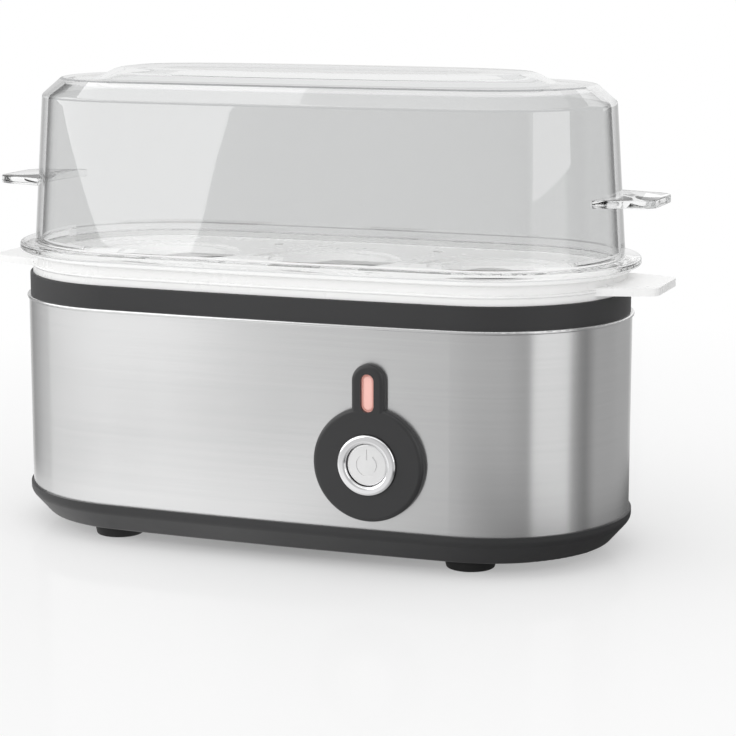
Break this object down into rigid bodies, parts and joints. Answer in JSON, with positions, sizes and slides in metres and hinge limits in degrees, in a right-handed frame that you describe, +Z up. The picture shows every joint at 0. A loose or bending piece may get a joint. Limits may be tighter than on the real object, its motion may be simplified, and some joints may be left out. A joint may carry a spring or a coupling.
{
  "type": "egg boiler",
  "caption": "Oval countertop egg boiler: brushed steel body with a push button and lamp, heated water pan, lift-off egg tray and clear lift-off lid.",
  "frame": {"origin": "on the table under the middle of the body", "axes": "+X along the body towards the end nearest the push button, -Y out of the front with the controls, +Z up"},
  "size_m": [0.2242, 0.0978, 0.1484],
  "materials": {
    "black_plastic": "fine-grained moulded polypropylene, charcoal black",
    "black_rubber": "soft moulded rubber",
    "brushed_steel": "stainless sheet brushed along its length",
    "zinc_steel": "bright zinc-plated steel",
    "pan_steel": "satin pressed stainless",
    "silicone": "red-brown silicone rubber",
    "heater_aluminium": "rolled aluminium",
    "element_steel": "oxidised stainless sheath",
    "dark_moulding": "phenolic moulding",
    "natural_nylon": "natural nylon",
    "panel_black": "satin black moulding",
    "lamp_lens": "translucent lens, lit",
    "neon_glass": "glowing neon capsule",
    "bezel_chrome": "bright plated",
    "button_satin": "satin plated",
    "wire_brown": "insulated wire",
    "wire_red": "insulated wire",
    "wire_blue": "insulated wire",
    "wire_green": "insulated wire",
    "white_plastic": "smooth moulded white polypropylene",
    "clear_plastic": "clear moulded plastic"
  },
  "bodies": {
    "body": {"base_shell": "black_plastic", "foot_front_left": "black_rubber", "foot_front_right": "black_rubber", "foot_rear_left": "black_rubber", "foot_rear_right": "black_rubber", "housing_screws": "zinc_steel", "steel_band": "brushed_steel", "rear_panel": "brushed_steel", "seam_strip": "zinc_steel", "upper_housing": "black_plastic", "water_pan": "pan_steel", "pan_seal": "silicone", "pan_clips": "zinc_steel", "clip_screws": "zinc_steel", "earth_tab": "zinc_steel", "heat_plate": "heater_aluminium", "heating_element": "element_steel", "element_pins": "zinc_steel", "clamp_bars": "zinc_steel", "clamp_screws": "zinc_steel", "thermostat": "dark_moulding", "thermostat_bracket": "zinc_steel", "thermostat_screws": "zinc_steel", "thermal_fuse": "zinc_steel", "fuse_clip": "zinc_steel", "terminal_block": "natural_nylon", "pole_screws": "zinc_steel", "block_screws": "zinc_steel", "cord_gland": "black_plastic", "gland_nut": "black_plastic", "control_panel": "panel_black", "lamp_lens": "lamp_lens", "neon_lamp": "neon_glass", "button_bezel": "bezel_chrome", "button_spring": "zinc_steel", "switch_carrier": "dark_moulding", "carrier_screws": "zinc_steel", "switch_body": "dark_moulding", "switch_tabs": "zinc_steel", "wire_live": "wire_brown", "wire_switched": "wire_brown", "wire_heater": "wire_red", "wire_neutral": "wire_blue", "wire_fuse": "wire_blue", "wire_earth": "wire_green", "lamp_leads": "wire_red"},
    "button": {"push_button": "button_satin", "switch_plunger": "natural_nylon"},
    "tray": {"egg_tray": "white_plastic"},
    "lid": {"lid": "clear_plastic"}
  },
  "joints": [
    {"name": "button_press", "type": "slide", "parent": "body", "child": "button", "axis": [0, 1, 0], "range_m": [0, 0.0025], "stiffness_N_per_m": 400, "deforming": ["button_spring"]},
    {"name": "tray_lift", "type": "slide", "parent": "body", "child": "tray", "axis": [0, 0, 1], "range_m": [0, 0.05]},
    {"name": "lid_lift", "type": "slide", "parent": "tray", "child": "lid", "axis": [0, 0, 1], "range_m": [0, 0.08]}
  ]
}
